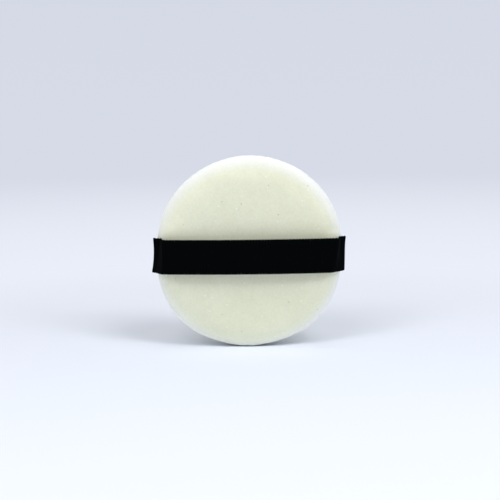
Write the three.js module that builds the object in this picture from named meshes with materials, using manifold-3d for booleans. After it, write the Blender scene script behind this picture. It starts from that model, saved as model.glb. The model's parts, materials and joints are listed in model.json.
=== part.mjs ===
// A round powder puff with a ribbon finger strap, standing on its rim.
// Millimetres, +Z up. The strap faces -Y and the powder face +Y. The origin is on the surface that the
// puff stands on, under the seam where its two covers meet.

import * as THREE from 'three';
import { mergeVertices } from 'three/addons/utils/BufferGeometryUtils.js';
import Module from 'manifold-3d';

const wasm = await Module();
wasm.setup();

// Pad
const PAD_DIAMETER = 57;
const PAD_THICKNESS = 11.5;
const FACE_FLATNESS = 7;
const SHOULDER_ROUNDNESS = 2.2;
const FOOT_CUT = 0.5;

// Covers and the seam between them
const COVER_THICKNESS = 1.2;
const SEAM_GAP = 0.3;
const SEAM_DEPTH = 0.7;
const RIM_TURN = 1;
const SEAM_ALLOWANCE = 2.8;

// The rim is drawn in where each ribbon end is sewn into it
const DRAW_IN = 1.5;
const DRAW_IN_REACH = 3.5;
const DRAW_IN_FROM = 12.5;

// Ribbon
const RIBBON_WIDTH = 10;
const RIBBON_THICKNESS = 0.5;
const RIBBON_END_SETBACK = 0.5;
const STRAP_GAP = 4.2;
const STRAP_BOW = 1.65;
const CORNER_RUN = 3.2;
const CORNER_DROP = 4.2;
const ROOT_BEND = 0.5;

// Thread
const THREAD_DIAMETER = 0.4;
const STITCH_PITCH = 4;
const STITCH_INSET = 0.4;
const CLOSING_PITCH = 2;
const CLOSING_ARC = 60;
const BAR_TACK_PITCH = 1.8;
const BAR_TACK_STITCHES = 3;

// Clearances
const FIT_GAP = 0.3;
const THREAD_GAP = 0.2;
const SWING_GAP = 0.4;

// Facets
const TURN_SEGMENTS = 40;
const OUTER_STEPS = 8;
const LIP_STEPS = 2;
const INNER_STEPS = 5;
const CORNER_STEPS = 8;
const SPAN_STEPS = 16;
const ROOT_STEPS = 4;
const THREAD_SIDES = 5;

// Worked out from the sizes above
const PAD_RADIUS = PAD_DIAMETER / 2;
const HALF_THICKNESS = PAD_THICKNESS / 2;
const PAD_CENTRE_Z = PAD_RADIUS - FOOT_CUT;
const THREAD_RADIUS = THREAD_DIAMETER / 2;
const HALF_RIBBON = RIBBON_WIDTH / 2;
const HALF_TAPE = RIBBON_THICKNESS / 2;
const CUT_MARGIN = PAD_RADIUS;

// The two covers lie flat on each other inside the rim, and the thread lies on both sides of that stack.
const STACK_HALF = SEAM_GAP / 2 + COVER_THICKNESS;
const THREAD_Y = STACK_HALF + THREAD_GAP + THREAD_RADIUS;
const THREAD_TOP = THREAD_Y + THREAD_RADIUS + FIT_GAP;

// Half of the pad's section: how far it reaches at a given distance from the seam plane. It is widest
// a little way from the seam, at the rim's turn.
function sectionRadius(y, radius, half) {
  const share = Math.min((y - RIM_TURN) / (half - RIM_TURN), 1);
  return radius * (1 - share ** SHOULDER_ROUNDNESS) ** (1 / FACE_FLATNESS);
}

const INNER_RADIUS = PAD_RADIUS - COVER_THICKNESS;
const INNER_HALF = HALF_THICKNESS - COVER_THICKNESS;
const STITCH_RADIUS = sectionRadius(THREAD_TOP, INNER_RADIUS, INNER_HALF) - STITCH_INSET;
const ALLOWANCE_RADIUS = STITCH_RADIUS - SEAM_ALLOWANCE;
const BAR_TACK_X = STITCH_RADIUS - SEAM_ALLOWANCE / 2;

// The pull of a sewn ribbon end: full on the rim at the ribbon's middle, and gone towards the pad's centre.
function drawIn(x, z) {
  const inward = Math.min(Math.max((Math.abs(x) - PAD_RADIUS + DRAW_IN_FROM) / DRAW_IN_FROM, 0), 1);
  const along = z / (HALF_RIBBON + DRAW_IN_REACH);
  return -Math.sign(x) * DRAW_IN * inward * inward * (3 - 2 * inward) * Math.exp(-along * along);
}

// The widest that the drawn-in rim is behind the ribbon.
function rimBehindRibbon() {
  const steps = 20;
  let widest = 0;
  for (let i = 0; i <= steps; i += 1) {
    const z = (HALF_RIBBON + DRAW_IN_REACH) * i / steps;
    const x = Math.sqrt(PAD_RADIUS ** 2 - z ** 2);
    widest = Math.max(widest, x + drawIn(x, z));
  }
  return widest;
}

// Strap, in plan: its legs pass just outside the drawn-in rim.
const LEG_X = rimBehindRibbon() + SWING_GAP + HALF_TAPE;
const ROOT_X = LEG_X - ROOT_BEND;
const SPAN_END_X = LEG_X - CORNER_RUN;
const SPAN_MIDDLE_Y = -(HALF_THICKNESS + STRAP_GAP + HALF_TAPE);
const SPAN_END_Y = SPAN_MIDDLE_Y + STRAP_BOW;
const LEG_TURN_Y = SPAN_END_Y + CORNER_DROP;

// A closed geometry as a solid that can be cut.
function toSolid(geometry) {
  const bare = geometry.clone();
  bare.deleteAttribute('normal');
  bare.deleteAttribute('uv');
  const merged = mergeVertices(bare, 1e-4);
  const triangles = [];
  for (let i = 0; i < merged.index.count; i += 3) {
    const [a, b, c] = [0, 1, 2].map((k) => merged.index.getX(i + k));
    if (a !== b && b !== c && c !== a) {
      triangles.push(a, b, c);
    }
  }
  return new wasm.Manifold(new wasm.Mesh({
    numProp: 3,
    vertProperties: new Float32Array(merged.attributes.position.array),
    triVerts: new Uint32Array(triangles),
  }));
}

function toGeometry(solid) {
  const mesh = solid.getMesh();
  const geometry = new THREE.BufferGeometry();
  geometry.setAttribute('position', new THREE.BufferAttribute(mesh.vertProperties, mesh.numProp));
  geometry.setIndex(new THREE.BufferAttribute(mesh.triVerts, 1));
  geometry.computeVertexNormals();
  return geometry;
}

function box(sizeX, sizeY, sizeZ, x, y, z) {
  return toSolid(new THREE.BoxGeometry(sizeX, sizeY, sizeZ).translate(x, y, z));
}

// Every piece of the pad is made round first, then its rim is drawn in at the ribbon ends.
function drawnIn(solid) {
  const geometry = toGeometry(solid);
  const position = geometry.attributes.position;
  for (let i = 0; i < position.count; i += 1) {
    const x = position.getX(i);
    position.setX(i, x + drawIn(x, position.getZ(i)));
  }
  return geometry;
}

// The rim is cut flat where the puff stands.
function withFoot(geometry) {
  const depth = CUT_MARGIN;
  const below = box(4 * CUT_MARGIN, 4 * CUT_MARGIN, depth, 0, 0, -PAD_CENTRE_Z - depth / 2);
  return toGeometry(toSolid(geometry).subtract(below));
}

// Points of half a section, from the face's centre out to a distance from the seam plane.
function facePoints(radius, half, endY, steps) {
  const points = [];
  const rise = half - RIM_TURN;
  const endAngle = Math.acos(((endY - RIM_TURN) / rise) ** (SHOULDER_ROUNDNESS / 2));
  for (let i = 0; i <= steps; i += 1) {
    const angle = endAngle * i / steps;
    const x = radius * Math.sin(angle) ** (2 / FACE_FLATNESS);
    const y = RIM_TURN + rise * Math.cos(angle) ** (2 / SHOULDER_ROUNDNESS);
    points.push(new THREE.Vector2(x, -y));
  }
  return points;
}

// Points from the rim's turn in to the seam.
function lipPoints() {
  const points = [];
  for (let i = 1; i <= LIP_STEPS; i += 1) {
    const angle = Math.PI / 2 * i / LIP_STEPS;
    const x = PAD_RADIUS - SEAM_DEPTH * (1 - Math.cos(angle));
    points.push(new THREE.Vector2(x, -RIM_TURN + (RIM_TURN - SEAM_GAP / 2) * Math.sin(angle)));
  }
  return points;
}

// The front cover: crowned face, rounded rim, and an allowance turned in at the seam.
function coverProfile() {
  return [
    ...facePoints(PAD_RADIUS, HALF_THICKNESS, RIM_TURN, OUTER_STEPS),
    ...lipPoints(),
    new THREE.Vector2(ALLOWANCE_RADIUS, -SEAM_GAP / 2),
    new THREE.Vector2(ALLOWANCE_RADIUS, -STACK_HALF),
    ...facePoints(INNER_RADIUS, INNER_HALF, STACK_HALF, INNER_STEPS).reverse(),
  ];
}

function mirrored(points) {
  return points.map((point) => new THREE.Vector2(point.x, -point.y)).reverse();
}

function turned(points) {
  return toSolid(new THREE.LatheGeometry(points, TURN_SEGMENTS));
}

// Stitch places. Each is where the thread passes through the stack, with the way along the seam.
function rimPlace(degrees) {
  const angle = THREE.MathUtils.degToRad(degrees);
  return {
    point: new THREE.Vector3(STITCH_RADIUS * Math.sin(angle), 0, -STITCH_RADIUS * Math.cos(angle)),
    along: new THREE.Vector3(Math.cos(angle), 0, Math.sin(angle)),
  };
}

function degreesPerStitch(pitch) {
  return 180 / Math.round(Math.PI * STITCH_RADIUS / pitch);
}

// The rim seam leaves a stretch open at the foot, which is how the puff is turned right side out.
function rimSeamPlaces() {
  const step = degreesPerStitch(STITCH_PITCH);
  const first = Math.ceil(CLOSING_ARC / 2 / step);
  const last = Math.round(360 / step) - first;
  const places = [];
  for (let i = first; i <= last; i += 1) {
    places.push(rimPlace(i * step));
  }
  return places;
}

function closingPlaces() {
  const step = degreesPerStitch(CLOSING_PITCH);
  const reach = CLOSING_ARC / 2 - degreesPerStitch(STITCH_PITCH) / 2;
  const stitches = Math.floor(2 * reach / step);
  const places = [];
  for (let i = 0; i <= stitches; i += 1) {
    places.push(rimPlace((i - stitches / 2) * step));
  }
  return places;
}

function barTackPlaces(side) {
  const places = [];
  for (let i = 0; i <= BAR_TACK_STITCHES; i += 1) {
    const z = (i - BAR_TACK_STITCHES / 2) * BAR_TACK_PITCH;
    places.push({
      point: new THREE.Vector3(side * BAR_TACK_X, 0, z),
      along: new THREE.Vector3(0, 0, 1),
    });
  }
  return places;
}

// A running stitch: along one side of the stack, through it, and along the other side.
function stitchRoute(places) {
  const bend = THREAD_DIAMETER;
  const tail = 2 * THREAD_DIAMETER;
  const route = [];
  const put = (place, shift, y) => {
    const point = place.point.clone().addScaledVector(place.along, shift);
    route.push(point.setY(y));
  };
  places.forEach((place, i) => {
    const side = i % 2 ? 1 : -1;
    const before = i === 0 ? tail : bend;
    const after = i === places.length - 1 ? tail : bend;
    put(place, -before, side * THREAD_Y);
    put(place, 0, side * (THREAD_Y - bend));
    put(place, 0, -side * (THREAD_Y - bend));
    put(place, after, -side * THREAD_Y);
  });
  return route;
}

// A round tube along a route of points, closed at both ends.
function tube(route, radius, sides) {
  const rings = [];
  const normal = new THREE.Vector3(1, 0, 0);
  route.forEach((point, i) => {
    const back = route[Math.max(i - 1, 0)];
    const ahead = route[Math.min(i + 1, route.length - 1)];
    const into = point.clone().sub(back).normalize();
    const out = ahead.clone().sub(point).normalize();
    const tangent = into.add(out).normalize();
    if (i === 0) {
      normal.crossVectors(tangent, new THREE.Vector3(0, 1, 0));
    }
    normal.addScaledVector(tangent, -normal.dot(tangent)).normalize();
    const across = new THREE.Vector3().crossVectors(tangent, normal);
    for (let k = 0; k < sides; k += 1) {
      const angle = 2 * Math.PI * k / sides;
      const place = point.clone().addScaledVector(normal, radius * Math.cos(angle));
      rings.push(...place.addScaledVector(across, radius * Math.sin(angle)).toArray());
    }
  });
  const triangles = [];
  for (let i = 0; i < route.length - 1; i += 1) {
    for (let k = 0; k < sides; k += 1) {
      const a = i * sides + k;
      const b = i * sides + (k + 1) % sides;
      triangles.push(a, b, b + sides, a, b + sides, a + sides);
    }
  }
  const last = (route.length - 1) * sides;
  for (let k = 1; k < sides - 1; k += 1) {
    triangles.push(0, k + 1, k, last, last + k, last + k + 1);
  }
  const geometry = new THREE.BufferGeometry();
  geometry.setAttribute('position', new THREE.Float32BufferAttribute(rings, 3));
  geometry.setIndex(triangles);
  return toSolid(geometry);
}

function thread(places) {
  return drawnIn(tube(stitchRoute(places), THREAD_RADIUS, THREAD_SIDES));
}

// Needle holes through the stack that a thread is sewn into, short of the covers' faces.
function pierced(solid, places) {
  const width = THREAD_DIAMETER + 2 * THREAD_GAP;
  const height = 2 * (STACK_HALF + THREAD_GAP);
  return places.reduce((left, { point, along }) => {
    const needle = new THREE.BoxGeometry(width, height, width);
    needle.rotateY(Math.atan2(along.x, along.z));
    needle.translate(point.x, point.y, point.z);
    return left.subtract(toSolid(needle));
  }, solid);
}

// Ribbon ends, sewn into the seam on the left (-1) and the right (1).
const RIBBON_END_OUTER = ROOT_X - FIT_GAP - drawIn(PAD_RADIUS, HALF_RIBBON);
const RIBBON_END_INNER = ALLOWANCE_RADIUS + RIBBON_END_SETBACK;
const RIBBON_END_LENGTH = RIBBON_END_OUTER - RIBBON_END_INNER;
const RIBBON_END_X = (RIBBON_END_OUTER + RIBBON_END_INNER) / 2;

function ribbonEnd(side) {
  const tape = box(RIBBON_END_LENGTH, RIBBON_THICKNESS, RIBBON_WIDTH, side * RIBBON_END_X, 0, 0);
  return drawnIn(pierced(tape, [...barTackPlaces(side), ...rimSeamPlaces()]));
}

// Room for both ribbon ends between the covers.
function withRibbonSlots(solid) {
  const length = CUT_MARGIN;
  const height = RIBBON_THICKNESS + 2 * FIT_GAP;
  const width = RIBBON_WIDTH + 2 * FIT_GAP;
  const x = ALLOWANCE_RADIUS - FIT_GAP + length / 2;
  return [-1, 1].reduce((left, side) => left.subtract(box(length, height, width, side * x, 0, 0)), solid);
}

function cover(profile) {
  const places = [...rimSeamPlaces(), ...closingPlaces(), ...barTackPlaces(-1), ...barTackPlaces(1)];
  const slotted = withRibbonSlots(turned(profile));
  return withFoot(drawnIn(pierced(slotted, places)));
}

function foamCore() {
  const radius = INNER_RADIUS - FIT_GAP;
  const half = INNER_HALF - FIT_GAP;
  const front = facePoints(radius, half, THREAD_TOP, INNER_STEPS);
  front.push(new THREE.Vector2(ALLOWANCE_RADIUS - FIT_GAP, -THREAD_TOP));
  return drawnIn(turned([...front, ...mirrored(front)]));
}

// The strap's middle line in plan, from the right root to the left one.
function strapLine() {
  const root = new THREE.EllipseCurve(ROOT_X, -ROOT_BEND, ROOT_BEND, ROOT_BEND, Math.PI / 2, 0, true);
  const slope = 2 * STRAP_BOW / SPAN_END_X;
  const hold = 0.55;
  const corner = new THREE.CubicBezierCurve(
    new THREE.Vector2(LEG_X, LEG_TURN_Y),
    new THREE.Vector2(LEG_X, LEG_TURN_Y - hold * CORNER_DROP),
    new THREE.Vector2(SPAN_END_X + hold * CORNER_RUN, SPAN_END_Y + hold * CORNER_RUN * slope),
    new THREE.Vector2(SPAN_END_X, SPAN_END_Y),
  );
  const half = [...root.getPoints(ROOT_STEPS), ...corner.getPoints(CORNER_STEPS)];
  const span = [];
  for (let i = 1; i < SPAN_STEPS; i += 1) {
    const share = 1 - 2 * i / SPAN_STEPS;
    span.push(new THREE.Vector2(share * SPAN_END_X, SPAN_MIDDLE_Y + STRAP_BOW * share * share));
  }
  const other = half.map((point) => new THREE.Vector2(-point.x, point.y)).reverse();
  return [...half, ...span, ...other];
}

function ribbonStrap() {
  const line = strapLine();
  const sides = [-1, 1].map((side) => line.map((point, i) => {
    const back = line[Math.max(i - 1, 0)];
    const ahead = line[Math.min(i + 1, line.length - 1)];
    const along = ahead.clone().sub(back).normalize();
    return new THREE.Vector2(point.x - side * HALF_TAPE * along.y, point.y + side * HALF_TAPE * along.x);
  }));
  const outline = new THREE.Shape([...sides[0], ...sides[1].reverse()]);
  const geometry = new THREE.ExtrudeGeometry(outline, { depth: RIBBON_WIDTH, bevelEnabled: false });
  return toGeometry(toSolid(geometry.translate(0, 0, -HALF_RIBBON)));
}

const velour = new THREE.MeshStandardMaterial({ color: 0xe9ead9, roughness: 0.95, metalness: 0 });
const foam = new THREE.MeshStandardMaterial({ color: 0xf2f0e6, roughness: 0.9, metalness: 0 });
const grosgrain = new THREE.MeshStandardMaterial({ color: 0x0b0c0e, roughness: 0.8, metalness: 0 });
const paleThread = new THREE.MeshStandardMaterial({ color: 0xf0efe6, roughness: 0.7, metalness: 0 });
const darkThread = new THREE.MeshStandardMaterial({ color: 0x141416, roughness: 0.7, metalness: 0 });

const puff = new THREE.Group();
puff.position.z = PAD_CENTRE_Z;

function addPiece(name, geometry, material) {
  const mesh = new THREE.Mesh(geometry, material);
  mesh.name = name;
  puff.add(mesh);
}

addPiece('front_cover', cover(coverProfile()), velour);
addPiece('back_cover', cover(mirrored(coverProfile())), velour);
addPiece('foam_core', foamCore(), foam);
addPiece('ribbon_strap', ribbonStrap(), grosgrain);
addPiece('left_ribbon_end', ribbonEnd(-1), grosgrain);
addPiece('right_ribbon_end', ribbonEnd(1), grosgrain);
addPiece('rim_seam_thread', thread(rimSeamPlaces()), paleThread);
addPiece('closing_thread', thread(closingPlaces()), paleThread);
addPiece('left_bar_tack', thread(barTackPlaces(-1)), darkThread);
addPiece('right_bar_tack', thread(barTackPlaces(1)), darkThread);

export default puff;
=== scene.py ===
"""A round velour powder puff with a black ribbon finger strap, standing on its rim on a pale sweep.

Metres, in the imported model's frame: X runs along the strap, which faces -Y, and Z is up from the foot.
"""

import json
import math

import bpy
import numpy as np
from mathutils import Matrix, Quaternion, Vector
from mathutils.kdtree import KDTree


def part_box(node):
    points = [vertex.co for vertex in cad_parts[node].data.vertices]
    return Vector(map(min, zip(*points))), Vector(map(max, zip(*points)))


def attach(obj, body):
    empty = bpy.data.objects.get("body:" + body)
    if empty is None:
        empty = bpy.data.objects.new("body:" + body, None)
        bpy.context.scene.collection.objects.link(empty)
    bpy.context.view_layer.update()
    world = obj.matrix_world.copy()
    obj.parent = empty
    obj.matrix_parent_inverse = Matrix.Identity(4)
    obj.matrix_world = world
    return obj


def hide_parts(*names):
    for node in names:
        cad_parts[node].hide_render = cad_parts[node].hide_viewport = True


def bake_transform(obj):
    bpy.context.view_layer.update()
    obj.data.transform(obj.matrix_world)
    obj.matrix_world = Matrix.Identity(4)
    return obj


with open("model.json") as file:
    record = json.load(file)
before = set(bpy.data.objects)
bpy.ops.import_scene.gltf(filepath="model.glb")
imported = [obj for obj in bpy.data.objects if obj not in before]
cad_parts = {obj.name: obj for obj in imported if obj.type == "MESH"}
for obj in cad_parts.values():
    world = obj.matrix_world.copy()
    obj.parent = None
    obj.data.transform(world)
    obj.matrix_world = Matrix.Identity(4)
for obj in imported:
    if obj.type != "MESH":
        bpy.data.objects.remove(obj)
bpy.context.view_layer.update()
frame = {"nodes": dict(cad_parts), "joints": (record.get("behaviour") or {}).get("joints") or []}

MM = 0.001

# Camera: a little above the puff's middle, and turned so that its right side is higher
CAMERA_DISTANCE = 320 * MM
CAMERA_ELEVATION = math.radians(7.6)
CAMERA_ROLL = math.radians(0.64)
CAMERA_AIM = Vector((0.26 * MM, 0, 28.72 * MM))
CAMERA_LENS = 77.7
CAMERA_CLIP = 3.2 * MM
SENSOR_WIDTH = 36

# Pad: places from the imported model, and the shape of its section
PAD_Z = frame["joints"][0]["pos_m"][2]
PAD_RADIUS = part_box("back_cover")[1].z - PAD_Z
HALF_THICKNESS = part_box("back_cover")[1].y
FACE_FLATNESS = 9.5
SHOULDER_ROUNDNESS = 2.2
RIM_TURN = 1 * MM
SEAM_DEPTH = 0.7 * MM
SEAM_HALF_GAP = 0.03 * MM
COVER_THICKNESS = 1.2 * MM
ALLOWANCE_RADIUS = PAD_RADIUS - 5 * MM
THREAD_TOP = 2.25 * MM
FIT_GAP = 0.3 * MM
FOOT_REACH = 7 * MM
FOOT_SOFTNESS = 0.08 * MM

# The pad is a little oval, longer along one slant
OVAL = 0.011
OVAL_SLANT = math.radians(70)

# The rim is drawn in where each ribbon end is sewn into it
DRAW_IN = 1.5 * MM
DRAW_IN_ALONG = 8.5 * MM
DRAW_IN_FROM = 12.5 * MM
PARTING_SLOPE = 1.5 * MM
PARTING_DEPTH = 3 * MM

# Cloth run: the covers start a little thin and swell, held along the seam and drawn in at the ribbon
# ends. It runs on a larger copy, because the solver is made for cloth of that size
SWELL = 0.35 * MM
SWELL_SCALE = 10
SWELL_VOXEL = 1.1 * MM
SWELL_PRESSURE = 4
SWELL_FRAMES = 20
SEWN_FRAMES = 10
SWELL_NEIGHBOURS = 10
HELD_DEPTH = 1.3 * MM
HELD_REACH = 2 * MM

# Small unevenness of sewn cloth: gathers at the seam, which come and go and drift along it, and a slow
# wander of the faces
GATHERS = 74
GATHER_HEIGHT = 0.07 * MM
GATHER_REACH = 1.6 * MM
GATHER_EVENNESS = 0.6
GATHER_GROUPS = 7
DRIFT_WAVES = (3, 5, 8)
DRIFT_LEAST = 0.4
DRIFT_MOST = 1.2
DRIFT_PHASE = 6
WANDER_HEIGHT = 0.06 * MM
WANDER_LENGTH = 17 * MM
WANDER_WAVES = 9

# Ribbon: grosgrain with ribs across it and a toothed selvage
STRAP_LOW, STRAP_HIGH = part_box("ribbon_strap")
HALF_RIBBON = (STRAP_HIGH.z - STRAP_LOW.z) / 2
HALF_TAPE = 0.25 * MM
LEG_X = STRAP_HIGH.x - HALF_TAPE
SPAN_Y = STRAP_LOW.y + HALF_TAPE
SPAN_BOW = 1.65 * MM
SPAN_END_X = LEG_X - 3.2 * MM
ROOT_X = LEG_X - 0.5 * MM
SEWN_END_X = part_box("right_ribbon_end")[0].x
BEND_LENGTH = 1.1 * MM
# Each end of the strap dives to the pad's shoulder, lies there as a short tab and folds back into the
# seam. For the left and the right, along the lower edge, the middle and the upper edge, in mm: where it
# dives, how far that runs, the tab's depth at its start and at its fold, and its reach beyond the leg
STRAP_ENDS = {
    -1: ((25.0, 2.0, -5.4, -3.6, 0.85), (25.0, 1.4, -4.8, -4.0, 0.15), (25.1, 0.7, -4.4, -4.2, 0.25)),
    1: ((23.6, 3.0, -5.4, -3.6, 0.1), (25.2, 1.4, -4.8, -3.7, 0.2), (25.8, 0.7, -4.4, -3.3, 0.65)),
}
SEAM_SAG = 0.6 * MM
SAG_DEPTH = 4 * MM
RIB_PITCH = 0.88 * MM
RIB_HEIGHT = 0.08 * MM
STEPS_PER_RIB = 8
RIB_STEP = RIB_PITCH / STEPS_PER_RIB
TOOTH_LENGTH = 0.22 * MM
TOOTH_PROUD = 0.5
ACROSS_STEPS = 14
EDGE_STEPS = 6

# Mesh steps
TURN_STEPS = 400
FACE_SPACING = 0.45 * MM
LIP_SPACING = 0.15 * MM
INNER_SPACING = 1.2 * MM
FINE = 400

# Painted sheen: where the cream starts to be painted paler round the rim, in place of light's sheen on
# the pile. Less of it is painted towards the lower left, as painted shade on that side
SHEEN_PAINT_FROM = 24 * MM
SHADE_WAY = (-0.5, 0, -0.87)
SHADE_FROM = -0.3 * PAD_RADIUS
SHADE_SHARE = 0.4

# Velour: the cream varies slowly and has a painted sheen at the rim, with a fine nap and scattered
# flecks.
# Scales are in cells to the metre. Flecks have a scale, a size in their cell and a share of the cells
CREAM_DEEP = (0.81, 0.825, 0.635, 1)
CREAM_LIGHT = (0.86, 0.873, 0.69, 1)
RIM_SHEEN_PAINT = (0.895, 0.91, 0.885, 1)
NAP_DEEP = (0.945, 0.945, 0.94, 1)
NAP_LIGHT = (1, 1, 1, 1)
LIGHT_FLECK = (0.925, 0.935, 0.82, 1)
DARK_FLECK = (0.6, 0.62, 0.48, 1)
LIGHT_FLECKS = (420, 0.13, 0.55)
DARK_FLECKS = (360, 0.1, 0.25)
FLECK_CORE = 0.5
MOTTLE_SCALE = 90
NAP_SCALE = 1500
TUFT_SCALE = 1300
TUFT_DEPTH = 0.12 * MM
PILE_SCALE = 5200
PILE_DEPTH = 0.06 * MM
NOISE_LOW = 0.3
NOISE_HIGH = 0.7

# Ribbon, thread and foam: the darker and lighter colour of each, and the scale and depth of its grain
RIBBON_DEEP = (0.0006, 0.0011, 0.0012, 1)
RIBBON_RUBBED = (0.0013, 0.0022, 0.0025, 1)
YARN_SCALE = 4200
YARN_DEPTH = 0.05 * MM
YARN_LOW = 0.35
YARN_HIGH = 0.7
PALE_THREAD = ((0.74, 0.73, 0.66, 1), (0.88, 0.87, 0.8, 1))
DARK_THREAD = ((0.006, 0.006, 0.008, 1), (0.014, 0.014, 0.017, 1))
TWIST_SCALE = 900
TWIST_DEPTH = 0.04 * MM
# The foam's darker colour is painted shade in its pore hollows
FOAM_PORE_SHADE = (0.72, 0.70, 0.61, 1)
FOAM_LIGHT = (0.9, 0.89, 0.82, 1)
PORE_SCALE = 1600
PORE_DEPTH = 0.15 * MM

SEED = 7


def add_node(tree, kind, inputs=None, **settings):
    """A new node. Settings are its properties, and inputs are values or the sockets that feed it."""
    made = tree.nodes.new(kind)
    for name, value in settings.items():
        setattr(made, name, value)
    for name, value in (inputs or {}).items():
        if isinstance(value, bpy.types.NodeSocket):
            tree.links.new(value, made.inputs[name])
        else:
            made.inputs[name].default_value = value
    return made


def mixed(tree, factor, first, second, blend="MIX"):
    """A colour mixed from two colours or sockets."""
    made = add_node(tree, "ShaderNodeMix", data_type="RGBA", blend_type=blend)
    for socket, value in zip((made.inputs[0], made.inputs[6], made.inputs[7]), (factor, first, second)):
        if isinstance(value, bpy.types.NodeSocket):
            tree.links.new(value, socket)
        else:
            socket.default_value = value
    return made.outputs[2]


def ranged(tree, value, low, high, to_low=0.0, to_high=1.0):
    """A value carried from one range to another."""
    ends = {"Value": value, "From Min": low, "From Max": high, "To Min": to_low, "To Max": to_high}
    return add_node(tree, "ShaderNodeMapRange", ends).outputs["Result"]


def faded(tree, distance, low, high):
    """A smooth rise from none to all between two distances."""
    ends = {"Value": distance, "From Min": low, "From Max": high}
    return add_node(tree, "ShaderNodeMapRange", ends, interpolation_type="SMOOTHSTEP").outputs["Result"]


def noise(tree, place, scale, detail=3.0, roughness=0.55):
    inputs = {"Vector": place, "Scale": scale, "Detail": detail, "Roughness": roughness}
    return add_node(tree, "ShaderNodeTexNoise", inputs).outputs["Fac"]


def bump(tree, height, strength, distance, normal=None):
    inputs = {"Height": height, "Strength": strength, "Distance": distance}
    if normal is not None:
        inputs["Normal"] = normal
    return add_node(tree, "ShaderNodeBump", inputs).outputs["Normal"]


def shaded(name, **values):
    """A new material with its node tree and principled shader, whose sockets take those values."""
    material = bpy.data.materials.new(name)
    material.use_nodes = True
    shader = material.node_tree.nodes["Principled BSDF"]
    for socket, value in values.items():
        shader.inputs[socket.replace("_", " ")].default_value = value
    return material, material.node_tree, shader


def object_place(tree):
    return add_node(tree, "ShaderNodeTexCoord").outputs["Object"]


def specks(tree, place, scale, reach, share):
    """Small round dots in a share of scattered cells."""
    cells = add_node(tree, "ShaderNodeTexVoronoi", {"Vector": place, "Scale": scale})
    dot = ranged(tree, cells.outputs["Distance"], reach, reach * FLECK_CORE)
    chosen = add_node(tree, "ShaderNodeSeparateColor", {"Color": cells.outputs["Color"]})
    picked = add_node(tree, "ShaderNodeMath", operation="LESS_THAN")
    tree.links.new(chosen.outputs["Red"], picked.inputs[0])
    picked.inputs[1].default_value = share
    both = add_node(tree, "ShaderNodeMath", operation="MULTIPLY")
    tree.links.new(dot, both.inputs[0])
    tree.links.new(picked.outputs[0], both.inputs[1])
    return both.outputs[0]


def painted_rim_sheen(tree, place):
    """None on the faces and most at the rim: a painted sheen, with less on the lower left as painted
    shade.
    """
    middle = {0: place, 1: (0, 0, PAD_Z)}
    from_middle = add_node(tree, "ShaderNodeVectorMath", middle, operation="SUBTRACT").outputs["Vector"]
    flat = add_node(tree, "ShaderNodeVectorMath", {0: from_middle, 1: (1, 0, 1)}, operation="MULTIPLY")
    in_plane = {0: flat.outputs["Vector"]}
    away = add_node(tree, "ShaderNodeVectorMath", in_plane, operation="LENGTH").outputs["Value"]
    # Painted shade: less of the painted sheen towards the lower left
    shade_way = {0: from_middle, 1: SHADE_WAY}
    along = add_node(tree, "ShaderNodeVectorMath", shade_way, operation="DOT_PRODUCT").outputs["Value"]
    sheen_kept = ranged(tree, along, SHADE_FROM, PAD_RADIUS, 1, 1 - SHADE_SHARE)
    both = {0: faded(tree, away, SHEEN_PAINT_FROM, PAD_RADIUS), 1: sheen_kept}
    return add_node(tree, "ShaderNodeMath", both, operation="MULTIPLY").outputs[0]


def velour_material():
    """Short cream pile: a soft nap, slow mottling, and a few lighter and darker flecks."""
    material, tree, shader = shaded(
        "velour",
        Roughness=0.92,
        Specular_IOR_Level=0.12,
        Sheen_Weight=1.0,
        Sheen_Roughness=0.3,
        Sheen_Tint=(0.96, 0.98, 1.0, 1),
    )
    place = object_place(tree)
    slow = ranged(tree, noise(tree, place, MOTTLE_SCALE), NOISE_LOW, NOISE_HIGH)
    mottle = mixed(tree, slow, CREAM_DEEP, CREAM_LIGHT)
    # Painted sheen: paler round the rim, held down on the lower left as painted shade
    colour = mixed(tree, painted_rim_sheen(tree, place), mottle, RIM_SHEEN_PAINT)
    fine = ranged(tree, noise(tree, place, NAP_SCALE), NOISE_LOW, NOISE_HIGH)
    nap = mixed(tree, fine, NAP_DEEP, NAP_LIGHT)
    colour = mixed(tree, 1.0, colour, nap, "MULTIPLY")
    colour = mixed(tree, specks(tree, place, *LIGHT_FLECKS), colour, LIGHT_FLECK)
    colour = mixed(tree, specks(tree, place, *DARK_FLECKS), colour, DARK_FLECK)
    tree.links.new(colour, shader.inputs["Base Color"])
    pile = bump(tree, noise(tree, place, PILE_SCALE, 2.0), 0.35, PILE_DEPTH)
    pile = bump(tree, noise(tree, place, TUFT_SCALE, 3.0), 0.3, TUFT_DEPTH, pile)
    tree.links.new(pile, shader.inputs["Normal"])
    return material


def ribbon_material():
    """Black grosgrain: fine yarns across the ribs, a little lighter where they are rubbed."""
    material, tree, shader = shaded("ribbon", Roughness=0.7, Specular_IOR_Level=0.012)
    place = object_place(tree)
    yarn = noise(tree, place, YARN_SCALE, 2.0)
    colour = mixed(tree, ranged(tree, yarn, YARN_LOW, YARN_HIGH), RIBBON_DEEP, RIBBON_RUBBED)
    tree.links.new(colour, shader.inputs["Base Color"])
    tree.links.new(bump(tree, yarn, 0.5, YARN_DEPTH), shader.inputs["Normal"])
    return material


def thread_material(name, dark, light):
    """Plied sewing thread: a fine twist along it."""
    material, tree, shader = shaded(name, Roughness=0.6, Specular_IOR_Level=0.3)
    place = object_place(tree)
    inputs = {"Vector": place, "Scale": TWIST_SCALE, "Distortion": 2.0}
    twist = add_node(tree, "ShaderNodeTexWave", inputs)
    tree.links.new(mixed(tree, twist.outputs["Fac"], dark, light), shader.inputs["Base Color"])
    tree.links.new(bump(tree, twist.outputs["Fac"], 0.4, TWIST_DEPTH), shader.inputs["Normal"])
    return material


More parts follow.
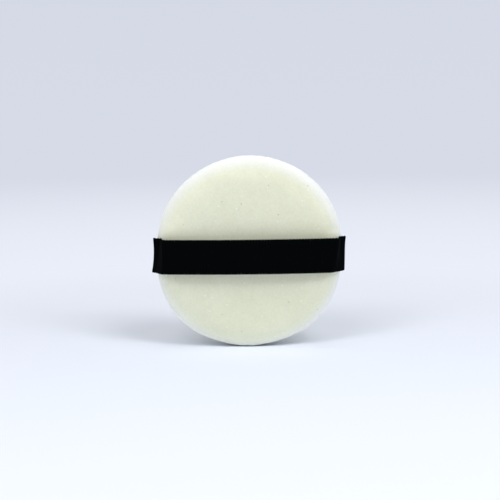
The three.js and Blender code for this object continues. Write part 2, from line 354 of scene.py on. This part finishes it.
def foam_material():
    """Open-cell foam, with painted shade in its pore hollows."""
    material, tree, shader = shaded("foam", Roughness=0.95, Specular_IOR_Level=0.1)
    cells = add_node(tree, "ShaderNodeTexVoronoi", {"Vector": object_place(tree), "Scale": PORE_SCALE})
    pores = ranged(tree, cells.outputs["Distance"], 0.1, 0.6)
    # Painted shade: darker where the pores dip
    colour = mixed(tree, pores, FOAM_PORE_SHADE, FOAM_LIGHT)
    tree.links.new(colour, shader.inputs["Base Color"])
    tree.links.new(bump(tree, pores, 0.6, PORE_DEPTH), shader.inputs["Normal"])
    return material


def new_piece(name, points, faces, material, smooth=True):
    """A mesh object with one material."""
    mesh = bpy.data.meshes.new(name)
    mesh.from_pydata([tuple(point) for point in points], [], faces)
    mesh.materials.append(material)
    mesh.polygons.foreach_set("use_smooth", [smooth] * len(mesh.polygons))
    mesh.update()
    piece = bpy.data.objects.new(name, mesh)
    bpy.context.scene.collection.objects.link(piece)
    return piece


def distances(line):
    """How far along a line each of its points is."""
    return np.concatenate([[0], np.cumsum(np.linalg.norm(np.diff(line, axis=0), axis=1))])


def divided(line, count):
    """The same line in that many even steps."""
    along = distances(line)
    places = np.linspace(0, along[-1], count + 1)
    return np.column_stack([np.interp(places, along, axis) for axis in np.transpose(line)])


def evenly(line, spacing):
    """The same line with its points evenly spaced."""
    return divided(line, max(round(distances(line)[-1] / spacing), 2))


def joined(*lines):
    """Lines that follow on from each other, with the shared points kept once."""
    return np.vstack([lines[0], *[line[1:] for line in lines[1:]]])


def smoothstep(share):
    share = np.clip(share, 0, 1)
    return share * share * (3 - 2 * share)


def face_line(radius, half, end):
    """Half a section as (radius, distance from the seam plane), from the face's middle to a distance."""
    rise = half - RIM_TURN
    last = math.acos(((end - RIM_TURN) / rise) ** (SHOULDER_ROUNDNESS / 2))
    angle = last * np.linspace(0, 1, FINE) ** 2
    reach = radius * np.sin(angle) ** (2 / FACE_FLATNESS)
    height = RIM_TURN + rise * np.maximum(np.cos(angle), 0) ** (2 / SHOULDER_ROUNDNESS)
    return np.column_stack([reach, height])


def lip_line():
    """From the rim's turn in to the seam."""
    angle = np.linspace(0, math.pi / 2, FINE)
    reach = PAD_RADIUS - SEAM_DEPTH * (1 - np.cos(angle))
    return np.column_stack([reach, RIM_TURN - (RIM_TURN - SEAM_HALF_GAP) * np.sin(angle)])


def outer_line(short):
    """The outside of a cover from its middle to the seam, its face a little short of its full height."""
    shoulder = evenly(face_line(PAD_RADIUS, HALF_THICKNESS - short, RIM_TURN), FACE_SPACING)
    return joined(shoulder, evenly(lip_line(), LIP_SPACING))


def inner_line(seam):
    """The allowance turned in from the seam, and the inside of the cover back to the middle."""
    stack = SEAM_HALF_GAP + COVER_THICKNESS
    inside = face_line(PAD_RADIUS - COVER_THICKNESS, HALF_THICKNESS - COVER_THICKNESS, stack)[::-1]
    corners = [
        tuple(seam),
        (ALLOWANCE_RADIUS, SEAM_HALF_GAP),
        (ALLOWANCE_RADIUS, stack),
        tuple(inside[0]),
    ]
    turned_in = [evenly(pair, INNER_SPACING) for pair in zip(corners, corners[1:])]
    return joined(*turned_in, evenly(inside, INNER_SPACING))


def turned(line, side):
    """Points and faces of a line that starts and ends on the pad's axis, turned about it."""
    angle = np.linspace(0, 2 * math.pi, TURN_STEPS, endpoint=False)
    rings = line[1:-1]
    x = rings[:, :1] * np.sin(angle)
    z = rings[:, :1] * np.cos(angle)
    y = side * np.repeat(rings[:, 1:], TURN_STEPS, axis=1)
    ends = [(0, side * line[0, 1], 0), (0, side * line[-1, 1], 0)]
    points = np.vstack([np.stack([x, y, z], axis=-1).reshape(-1, 3), ends])
    first_pole = len(points) - 2
    faces = []
    for k in range(TURN_STEPS):
        after = (k + 1) % TURN_STEPS
        faces.append((first_pole, k, after))
        for ring in range(len(rings) - 1):
            low = ring * TURN_STEPS
            high = low + TURN_STEPS
            faces.append((low + k, high + k, high + after, low + after))
        last = (len(rings) - 1) * TURN_STEPS
        faces.append((last + after, last + k, first_pole + 1))
    if side < 0:
        return points, faces
    return points, [face[::-1] for face in faces]


def ovalled(points):
    """Points stretched along the slant and narrowed across it."""
    slant = np.array([math.cos(OVAL_SLANT), 0, math.sin(OVAL_SLANT)])
    along = (points @ slant)[:, None] * slant
    flat = points * np.array([1, 0, 1])
    return points + OVAL * (2 * along - flat)


def drawn_in(points):
    """The pull of the sewn ribbon ends on the rim."""
    x, z = points[:, 0], points[:, 2]
    inward = smoothstep((np.abs(x) - PAD_RADIUS + DRAW_IN_FROM) / DRAW_IN_FROM)
    points[:, 0] = x - np.sign(x) * DRAW_IN * inward * np.exp(-((z / DRAW_IN_ALONG) ** 2))
    return points


def parted(points):
    """Opens the seam round the ribbon ends."""
    x, y, z = points.T
    across = smoothstep((HALF_RIBBON + PARTING_SLOPE - np.abs(z)) / PARTING_SLOPE)
    outward = smoothstep((np.abs(x) - ALLOWANCE_RADIUS + PARTING_SLOPE) / PARTING_SLOPE)
    near = 1 - smoothstep(np.abs(y) / PARTING_DEPTH)
    points[:, 1] = y + np.sign(y) * HALF_TAPE * across * outward * near
    return points


def stood(points):
    """Lifts points to the pad's place, with the lowest part of the rim pressed on the floor."""
    lowest = PAD_RADIUS * (1 - OVAL * math.cos(2 * OVAL_SLANT))
    from_lowest = points[:, 2] + lowest
    z = points[:, 2] + PAD_Z + (lowest - PAD_Z) * (1 - smoothstep(from_lowest / FOOT_REACH))
    points[:, 2] = (z + np.sqrt(z * z + FOOT_SOFTNESS**2)) / 2
    return points


def wander(points, rng):
    """A slow unevenness over the faces, from a few crossing waves."""
    height = np.zeros(len(points))
    for _ in range(WANDER_WAVES):
        heading, phase = rng.uniform(0, 2 * math.pi, 2)
        along = points[:, 0] * math.cos(heading) + points[:, 2] * math.sin(heading)
        height += np.cos(2 * math.pi * along / WANDER_LENGTH + phase)
    return WANDER_HEIGHT * height / math.sqrt(WANDER_WAVES)


def gathers(points, from_seam, rng):
    """Small irregular gathers that fade away from the seam."""
    angle = np.arctan2(points[:, 0], points[:, 2])
    drift = np.zeros(len(points))
    for waves in DRIFT_WAVES:
        size = rng.uniform(DRIFT_LEAST, DRIFT_MOST)
        drift += size * np.sin(waves * angle + rng.uniform(0, DRIFT_PHASE))
    strength = GATHER_EVENNESS + (1 - GATHER_EVENNESS) * np.sin(GATHER_GROUPS * angle + drift)
    fading = np.exp(-from_seam / GATHER_REACH)
    return GATHER_HEIGHT * strength * np.cos(GATHERS * angle + drift) * fading


def read(mesh, what="co"):
    values = np.empty(3 * len(mesh.vertices))
    mesh.vertices.foreach_get(what, values)
    return values.reshape(-1, 3)


def move(mesh, change):
    """Puts each point of a mesh where a change takes it."""
    mesh.vertices.foreach_set("co", change(read(mesh)).ravel())
    mesh.update()


def push(mesh, heights):
    """Moves each point of a mesh along its normal."""
    shift = read(mesh, "normal") * heights[:, None]
    move(mesh, lambda points: points + shift)


def seam_distance(outer, inner):
    """How far each point of a cover's line lies from the seam, and none for the inside."""
    steps = np.linalg.norm(np.diff(outer, axis=0), axis=1)
    from_seam = np.concatenate([np.cumsum(steps[::-1])[::-1], [0]])
    return np.concatenate([from_seam, np.full(len(inner) - 1, np.inf)])


def evaluated(piece):
    return piece.evaluated_get(bpy.context.evaluated_depsgraph_get())


def cloth_form():
    """An even closed mesh of the pad before it swells, at the solver's scale."""
    line = outer_line(SWELL)
    points, faces = turned(joined(line, line[::-1] * np.array([1, -1])), -1)
    form = new_piece("cloth_form", ovalled(points) * SWELL_SCALE, faces, None)
    remesh = form.modifiers.new("remesh", "REMESH")
    remesh.mode = "VOXEL"
    remesh.voxel_size = SWELL_VOXEL * SWELL_SCALE
    rough, form.data = form.data, bpy.data.meshes.new_from_object(evaluated(form))
    form.modifiers.clear()
    bpy.data.meshes.remove(rough)
    return form


def run_cloth(form, held, sewn):
    """Swells a form as cloth while its held points go to their sewn places. Gives its points then."""
    form.shape_key_add(name="cut")
    pulled = form.shape_key_add(name="sewn")
    pulled.data.foreach_set("co", sewn.ravel())
    for number, share in ((1, 0), (SEWN_FRAMES, 1)):
        pulled.value = share
        pulled.keyframe_insert("value", frame=number)
    form.vertex_groups.new(name="held").add(np.flatnonzero(held).tolist(), 1.0, "REPLACE")
    cloth = form.modifiers.new("cloth", "CLOTH").settings
    cloth.vertex_group_mass = "held"
    cloth.use_pressure = True
    cloth.uniform_pressure_force = SWELL_PRESSURE
    cloth.effector_weights.gravity = 0
    for number in range(1, SWELL_FRAMES + 1):
        bpy.context.scene.frame_set(number)
    points = read(evaluated(form).data)
    bpy.context.scene.frame_set(1)
    return points


def remove_form(form):
    mesh = form.data
    action = mesh.shape_keys.animation_data.action
    bpy.data.objects.remove(form)
    bpy.data.meshes.remove(mesh)
    bpy.data.actions.remove(action)


def swelling():
    """Places on the pad's skin, and how far each moves as the covers swell."""
    form = cloth_form()
    cut = read(form.data) / SWELL_SCALE
    sewn = drawn_in(cut.copy())
    at_rim = np.hypot(cut[:, 0], cut[:, 2]) > PAD_RADIUS - HELD_REACH
    held = at_rim & (np.abs(cut[:, 1]) < HELD_DEPTH)
    shift = run_cloth(form, held, sewn * SWELL_SCALE) / SWELL_SCALE - sewn
    remove_form(form)
    length = np.linalg.norm(shift, axis=1, keepdims=True)
    return sewn, shift * (SWELL / np.maximum(length, SWELL))


def swelled(points, skin):
    """Points moved as the skin near them moves."""
    places, shifts = skin
    tree = KDTree(len(places))
    for index, place in enumerate(places):
        tree.insert(place, index)
    tree.balance()
    near = [tree.find_n(point, SWELL_NEIGHBOURS) for point in points]
    index = np.array([[found[1] for found in row] for row in near])
    away = np.array([[found[2] for found in row] for row in near])
    weights = 1 / (away + SWELL_VOXEL / 2) ** 2
    weights /= weights.sum(axis=1, keepdims=True)
    return points + (shifts[index] * weights[:, :, None]).sum(axis=1)


def cover(name, side, material, skin):
    """One velour cover: crowned face, rounded rim, and an allowance turned in at the seam."""
    rng = np.random.default_rng(SEED + side)
    outer = outer_line(SWELL if skin else 0)
    inner = inner_line(outer[-1])
    points, faces = turned(joined(outer, inner), side)
    line_distance = seam_distance(outer, inner)
    from_seam = np.concatenate([np.repeat(line_distance[1:-1], TURN_STEPS), line_distance[[0, -1]]])
    outside = np.isfinite(from_seam)
    heights = np.where(outside, wander(points, rng), 0) + gathers(points, from_seam, rng)
    points = drawn_in(ovalled(points))
    if skin:
        points[outside] = swelled(points[outside], skin)
    piece = new_piece(name, parted(points), faces, material)
    push(piece.data, heights)
    move(piece.data, stood)
    return piece


def foam_disc(material):
    """The foam core that fills the covers."""
    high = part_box("foam_core")[1]
    face = evenly(face_line(high.z - PAD_Z, high.y, THREAD_TOP), INNER_SPACING)
    step_in = ALLOWANCE_RADIUS - FIT_GAP
    line = joined(face, np.array([face[-1], (step_in, THREAD_TOP), (step_in, 0)]))
    points, faces = turned(joined(line, line[::-1] * np.array([1, -1])), -1)
    piece = new_piece("foam_disc", drawn_in(ovalled(points)) + np.array([0, 0, PAD_Z]), faces, material)
    return piece


def softened(line):
    """A line of even steps with its corners rounded."""
    reach = round(BEND_LENGTH / RIB_STEP / 2)
    weights = np.hanning(2 * reach + 3)[1:-1]
    weights /= weights.sum()
    padded = np.pad(line, ((reach, reach), (0, 0)), mode="edge")
    return np.column_stack([np.convolve(axis, weights, mode="valid") for axis in padded.T])


def half_strap_line(side, level):
    """Half of the tape in plan at one level, from the strap's middle to its sewn end."""
    dive_x, dive_run, tab_y, fold_y, reach = np.array(STRAP_ENDS[side][level]) * MM
    x = np.linspace(0, dive_x, FINE)
    span = np.column_stack([x, SPAN_Y + SPAN_BOW * (x / SPAN_END_X) ** 2])
    end = [span[-1], (dive_x + dive_run, tab_y), (LEG_X + reach, fold_y), (ROOT_X, 0), (SEWN_END_X, 0)]
    return joined(span, np.array(end)) * np.array([side, 1])


def strap_line(level, steps):
    """The whole tape in plan at one level, in even steps with its corners rounded."""
    whole = joined(half_strap_line(-1, level)[::-1], half_strap_line(1, level))
    return divided(softened(divided(whole, steps)), steps)


def ribbon_lines():
    """The tape in plan at its lower edge, middle and upper edge."""
    middle = joined(half_strap_line(-1, 1)[::-1], half_strap_line(1, 1))
    steps = round(distances(middle)[-1] / RIB_STEP)
    return [strap_line(level, steps) for level in range(3)]


def tape_section():
    """Points round the tape's section as (side, share of the thickness, share of the width, edge)."""
    across = np.linspace(-1, 1, ACROSS_STEPS + 1)
    angle = np.linspace(0, math.pi, EDGE_STEPS + 1)[1:-1]
    rows = [(1, share, 0) for share in across]
    rows += [(math.cos(a), 1, math.sin(a)) for a in angle]
    rows += [(-1, share, 0) for share in across[::-1]]
    rows += [(-math.cos(a), -1, math.sin(a)) for a in angle]
    return np.array(rows)


def outward(line):
    """The direction out of the tape's face along a line in plan."""
    tangent = np.gradient(line, axis=0)
    tangent /= np.linalg.norm(tangent, axis=1)[:, None]
    return np.column_stack([tangent[:, 1], -tangent[:, 0]])


def ribbon(material):
    """The whole ribbon, from one sewn end to the other, with its ribs and toothed selvages."""
    lines = ribbon_lines()
    section = tape_section()
    rib = np.cos(2 * math.pi * np.arange(len(lines[0])) / STEPS_PER_RIB)[:, None]
    side, width, edge = section.T
    tooth = TOOTH_LENGTH * (TOOTH_PROUD + rib) / 2
    height = width * (HALF_RIBBON - HALF_TAPE) + np.sign(width) * edge * (HALF_TAPE + tooth)
    level = height / HALF_RIBBON
    shares = (level * (level - 1) / 2, 1 - level**2, level * (level + 1) / 2)
    thick = (side * (HALF_TAPE + RIB_HEIGHT / 2 * rib))[:, :, None]
    plan = sum(
        share[:, :, None] * (line[:, None] + outward(line)[:, None] * thick)
        for share, line in zip(shares, lines)
    )
    sag = SEAM_SAG * smoothstep(1 + plan[..., 1] / SAG_DEPTH)
    points = np.stack([plan[..., 0], plan[..., 1], PAD_Z + height - sag], axis=-1)
    faces = []
    around = len(section)
    for i in range(len(rib) - 1):
        low = i * around
        high = low + around
        for k in range(around):
            after = (k + 1) % around
            faces.append((low + k, low + after, high + after, high + k))
    faces.append(tuple(range(around))[::-1])
    faces.append(tuple(range((len(rib) - 1) * around, len(rib) * around)))
    return new_piece("grosgrain_ribbon", points.reshape(-1, 3), faces, material)


def build_puff():
    velour = velour_material()
    skin = swelling()
    front = cover("velour_front", -1, velour, skin)
    back = cover("velour_back", 1, velour, skin)
    core = foam_disc(foam_material())
    tape = ribbon(ribbon_material())
    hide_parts("front_cover")
    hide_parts("back_cover")
    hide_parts("foam_core")
    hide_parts("ribbon_strap", "left_ribbon_end", "right_ribbon_end")
    for piece, slot in ((front, "velour"), (back, "velour"), (core, "foam")):
        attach(piece, "pad")
    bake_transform(tape)
    pale = thread_material("pale_thread", *PALE_THREAD)
    dark = thread_material("dark_thread", *DARK_THREAD)
    for node, material in (
        ("rim_seam_thread", pale),
        ("closing_thread", pale),
        ("left_bar_tack", dark),
        ("right_bar_tack", dark),
    ):
        frame["nodes"][node].data.materials.clear()
        frame["nodes"][node].data.materials.append(material)


# Stage: a pale sweep, lit from above and from the front on both sides
FLOOR_SIZE = 8.0
FLOOR_COLOUR = (0.79, 0.827, 0.915, 1)
MIDDLE_COLOUR = (0.835, 0.868, 0.962, 1)
FAR_COLOUR = (0.672, 0.708, 0.799, 1)
SKY_TOP = (0.658, 0.694, 0.786, 1)
SKY_RISE = 0.12
LIT_CENTRE = (0, -0.12, 0)
LIT_REACH = 0.15
FADE_REACH = 0.29
FAR_REACH = 1.0
AMBIENT = 0.37
AMBIENT_COLOUR = (0.97, 0.985, 1.0, 1)
# Each lamp: azimuth from the front and elevation in degrees, distance, size, power, and whether it
# lights the floor alone ("INCLUDE") or all but the floor ("EXCLUDE")
LAMPS = {
    "top_lamp": (0, 86, 0.9, 0.5, 1.2, None),
    "rim_lamp": (0, 88, 0.9, 1.2, 4.8, "EXCLUDE"),
    "left_lamp": (-38, 34, 0.9, 0.26, 1.28, None),
    "right_lamp": (48, 32, 0.9, 0.26, 1.43, None),
    "left_side_lamp": (-80, 25, 0.9, 0.5, 0.85, "EXCLUDE"),
    "right_side_lamp": (80, 25, 0.9, 0.5, 0.85, "EXCLUDE"),
    "left_floor_lamp": (-24, 46, 0.9, 0.4, 1.9, "INCLUDE"),
    "right_floor_lamp": (35, 48, 0.9, 0.35, 2.75, "INCLUDE"),
}


def seen_directly(tree):
    """One for rays from the camera and for reflected or refracted ones, and none for other light."""
    path = add_node(tree, "ShaderNodeLightPath")
    either = add_node(tree, "ShaderNodeMath", operation="MAXIMUM")
    tree.links.new(path.outputs["Is Camera Ray"], either.inputs[0])
    tree.links.new(path.outputs["Is Glossy Ray"], either.inputs[1])
    any_of = add_node(tree, "ShaderNodeMath", operation="MAXIMUM")
    tree.links.new(either.outputs[0], any_of.inputs[0])
    tree.links.new(path.outputs["Is Transmission Ray"], any_of.inputs[1])
    return any_of.outputs[0]


def set_world():
    """An even soft light all round, seen as the far end of the sweep."""
    world = bpy.data.worlds.new("studio")
    bpy.context.scene.world = world
    world.use_nodes = True
    tree = world.node_tree
    tree.nodes.clear()
    direction = add_node(tree, "ShaderNodeTexCoord").outputs["Generated"]
    height = add_node(tree, "ShaderNodeSeparateXYZ", {"Vector": direction}).outputs["Z"]
    sky = mixed(tree, ranged(tree, height, 0.0, SKY_RISE), FAR_COLOUR, SKY_TOP)
    seen = add_node(tree, "ShaderNodeBackground", {"Color": sky, "Strength": 1.0})
    light = add_node(tree, "ShaderNodeBackground", {"Color": AMBIENT_COLOUR, "Strength": AMBIENT})
    mix = add_node(tree, "ShaderNodeMixShader", {"Fac": seen_directly(tree)})
    tree.links.new(light.outputs[0], mix.inputs[1])
    tree.links.new(seen.outputs[0], mix.inputs[2])
    output = add_node(tree, "ShaderNodeOutputWorld")
    tree.links.new(mix.outputs[0], output.inputs["Surface"])


def floor_material():
    """A pale matt sweep that fades into the background away from the puff."""
    material, tree, shader = shaded("sweep", Roughness=1.0, Specular_IOR_Level=0.0)
    shader.inputs["Base Color"].default_value = FLOOR_COLOUR
    place = add_node(tree, "ShaderNodeNewGeometry").outputs["Position"]
    ends = {0: place, 1: LIT_CENTRE}
    away = add_node(tree, "ShaderNodeVectorMath", ends, operation="DISTANCE").outputs["Value"]
    glow_colour = mixed(tree, faded(tree, away, LIT_REACH, FAR_REACH), MIDDLE_COLOUR, FAR_COLOUR)
    glow = add_node(tree, "ShaderNodeEmission", {"Color": glow_colour, "Strength": 1.0})
    far = faded(tree, away, LIT_REACH, FADE_REACH)
    both = add_node(tree, "ShaderNodeMath", {0: far, 1: seen_directly(tree)}, operation="MULTIPLY")
    blended = {0: both.outputs[0], 1: shader.outputs[0], 2: glow.outputs[0]}
    mix = add_node(tree, "ShaderNodeMixShader", blended)
    tree.links.new(mix.outputs[0], tree.nodes["Material Output"].inputs["Surface"])
    return material


def limit_to(lamp, floor, state):
    """Keeps a lamp on the floor alone, or off it."""
    chosen = bpy.data.collections.new(lamp.name)
    chosen.objects.link(floor)
    chosen.collection_objects[0].light_linking.link_state = state
    lamp.light_linking.receiver_collection = chosen


def add_lamp(name, azimuth, elevation, distance, size, power):
    """A square soft light aimed at the pad's middle."""
    lamp = bpy.data.lights.new(name, "AREA")
    lamp.size = size
    lamp.energy = power
    made = bpy.data.objects.new(name, lamp)
    turn, rise = math.radians(azimuth), math.radians(elevation)
    out = Vector((math.sin(turn) * math.cos(rise), -math.cos(turn) * math.cos(rise), math.sin(rise)))
    made.location = Vector((0, 0, PAD_Z)) + out * distance
    made.rotation_euler = (-out).to_track_quat("-Z", "Y").to_euler()
    bpy.context.scene.collection.objects.link(made)
    return made


def set_stage():
    half = FLOOR_SIZE / 2
    corners = [(-half, -half, 0), (half, -half, 0), (half, half, 0), (-half, half, 0)]
    floor = new_piece("floor", corners, [(0, 1, 2, 3)], floor_material(), smooth=False)
    for name, (*values, state) in LAMPS.items():
        lamp = add_lamp(name, *values)
        if state:
            limit_to(lamp, floor, state)
    set_world()


def set_camera():
    camera = bpy.data.objects.new("camera", bpy.data.cameras.new("camera"))
    camera.data.lens = CAMERA_LENS
    camera.data.sensor_width = SENSOR_WIDTH
    camera.data.clip_start = CAMERA_CLIP
    back = Vector((0, -math.cos(CAMERA_ELEVATION), math.sin(CAMERA_ELEVATION)))
    camera.location = CAMERA_AIM + back * CAMERA_DISTANCE
    camera.rotation_mode = "QUATERNION"
    look = (-back).to_track_quat("-Z", "Y")
    camera.rotation_quaternion = look @ Quaternion((0, 0, 1), -CAMERA_ROLL)
    bpy.context.scene.collection.objects.link(camera)
    bpy.context.scene.camera = camera


bpy.context.scene.view_settings.view_transform = "Standard"
set_camera()
set_stage()
build_puff()
